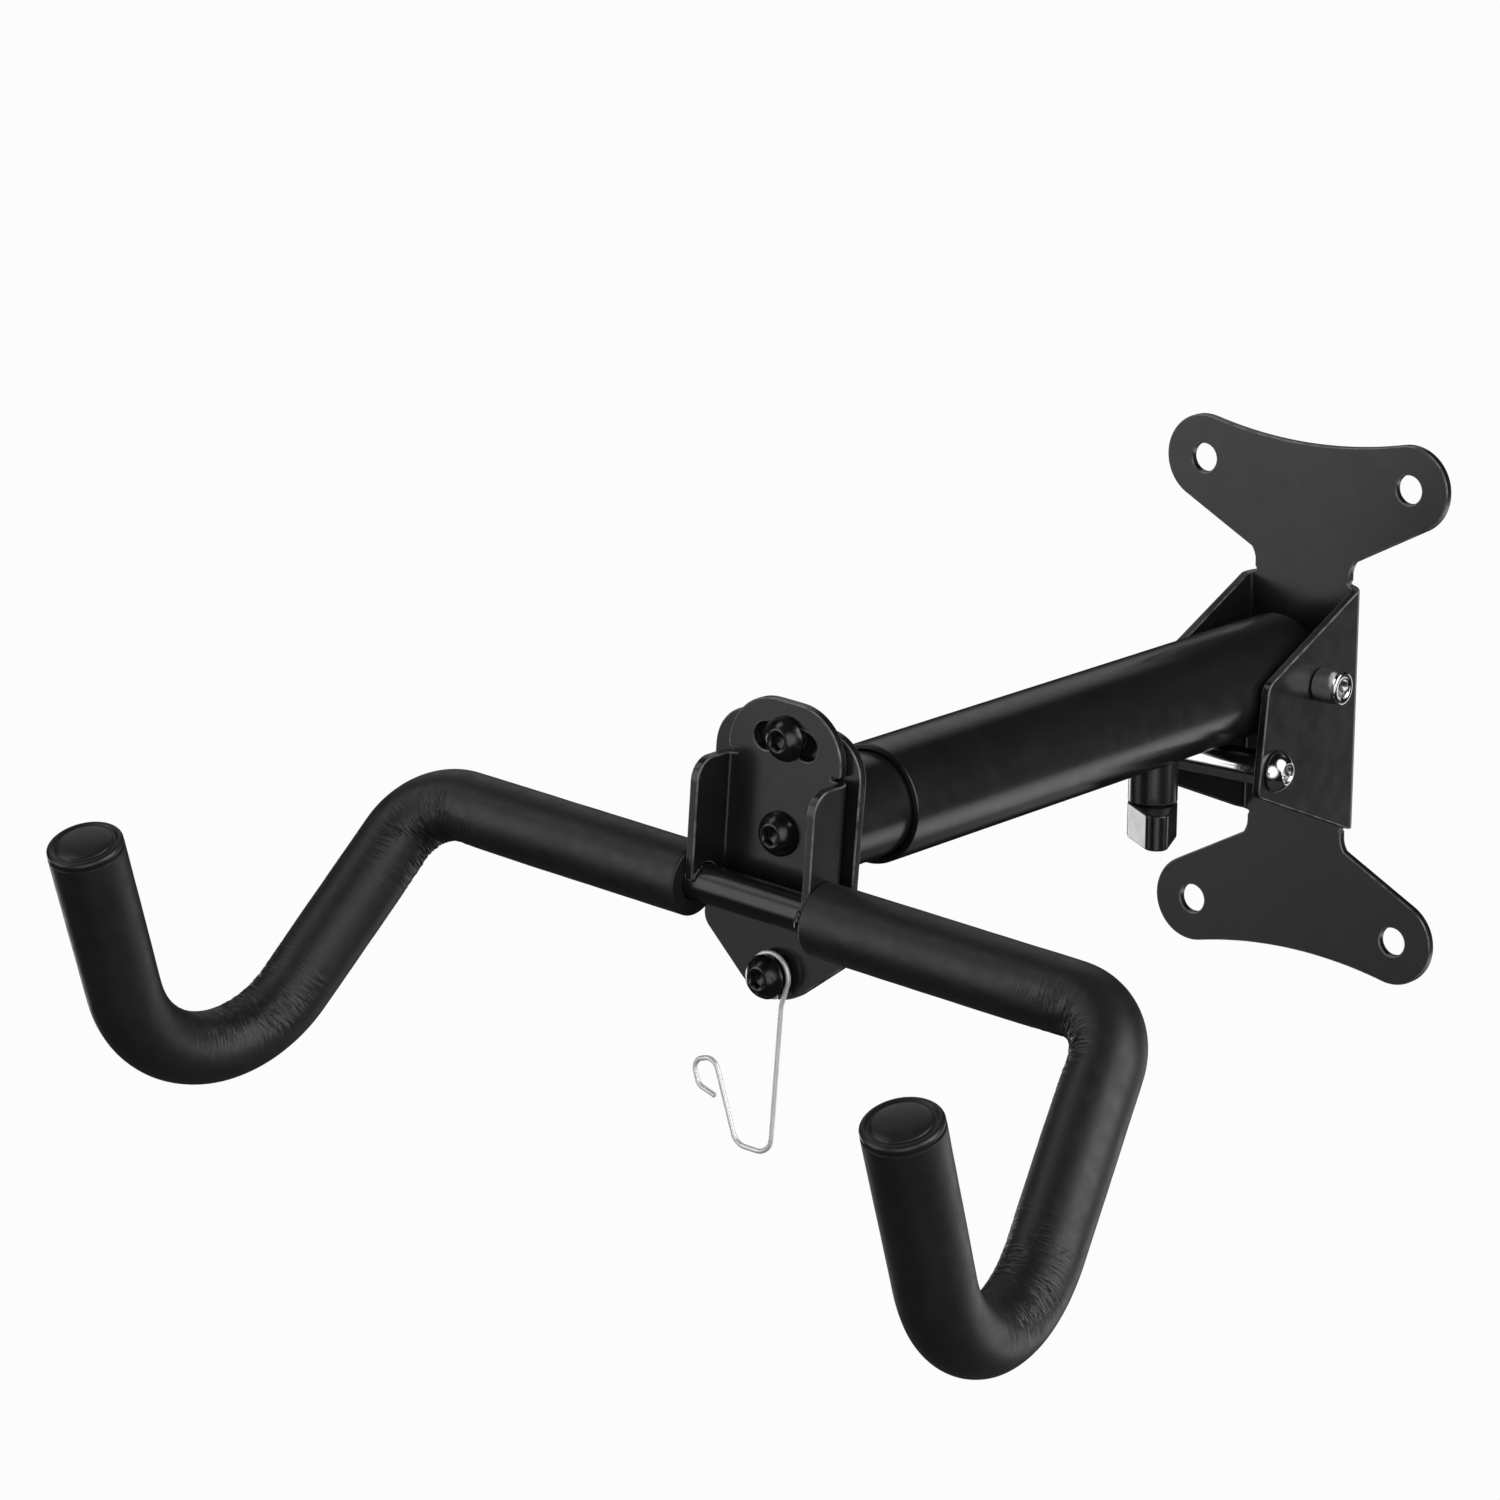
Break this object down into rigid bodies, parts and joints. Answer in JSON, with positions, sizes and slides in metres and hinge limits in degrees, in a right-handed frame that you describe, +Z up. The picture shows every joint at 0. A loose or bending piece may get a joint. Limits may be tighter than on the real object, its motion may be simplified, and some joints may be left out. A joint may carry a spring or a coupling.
{
  "type": "bicycle wall rack",
  "caption": "Folding wall rack for a bicycle: bracket, round arm with a clamped inner tube, tilting head and two foam-covered hooks.",
  "frame": {"origin": "middle of the wall bracket's back face, which lies on the wall", "axes": "+Z up along the wall, +Y into the wall, so the arm reaches out along -Y, +X to the right for a person facing the wall"},
  "size_m": [0.3353, 0.4367, 0.1902],
  "materials": {
    "black_paint": "satin black powder coat",
    "bright_zinc": "bright plated steel",
    "black_oxide": "black oxide",
    "foam": "matt closed-cell foam",
    "cap_plastic": "slightly glossy black",
    "bright_wire": "galvanised"
  },
  "bodies": {
    "bracket": {"wall_bracket": "black_paint", "pivot_screw": "bright_zinc", "pivot_washer": "bright_zinc", "pivot_nut": "bright_zinc", "stop_screw": "bright_zinc", "stop_nut": "bright_zinc", "stop_sleeve": "bright_zinc"},
    "arm": {"arm_tube": "black_paint", "pivot_bush": "bright_zinc", "clamp_boss": "black_paint"},
    "clamp": {"clamp_lever": "cap_plastic", "clamp_screw": "bright_zinc"},
    "spindle": {"inner_tube": "black_paint", "rear_plate": "black_paint", "tilt_screw": "black_oxide", "tilt_washer": "black_oxide", "tilt_nut": "black_oxide", "slot_screw": "black_oxide", "wire_screw": "black_oxide", "wire_bush": "black_oxide", "wire_nut": "black_oxide"},
    "head": {"front_plate": "black_paint", "hook_bar": "black_paint", "foam_left": "foam", "foam_right": "foam", "end_cap_left": "cap_plastic", "end_cap_right": "cap_plastic"},
    "wire": {"wire_hook": "bright_wire"}
  },
  "joints": [
    {"name": "arm_fold", "type": "hinge", "parent": "bracket", "child": "arm", "pos_m": [0, -0.0265, 0.0137], "axis": [-1, 0, 0], "range_deg": [0, 85]},
    {"name": "spindle_turn", "type": "hinge", "parent": "arm", "child": "spindle", "pos_m": [0, -0.2949, 0.0137], "axis": [0, 1, 0], "range_deg": [-30, 30]},
    {"name": "head_tilt", "type": "hinge", "parent": "spindle", "child": "head", "pos_m": [0, -0.2949, 0.0137], "axis": [0, 1, 0], "range_deg": [-14, 15]},
    {"name": "clamp_turn", "type": "hinge", "parent": "arm", "child": "clamp", "pos_m": [0, -0.0886, -0.024], "axis": [0, 0, 1], "range_deg": [0, 180]},
    {"name": "wire_swing", "type": "hinge", "parent": "spindle", "child": "wire", "pos_m": [-0.00365, -0.2856, -0.03165], "axis": [0, 1, 0], "range_deg": [-45, 45]}
  ]
}
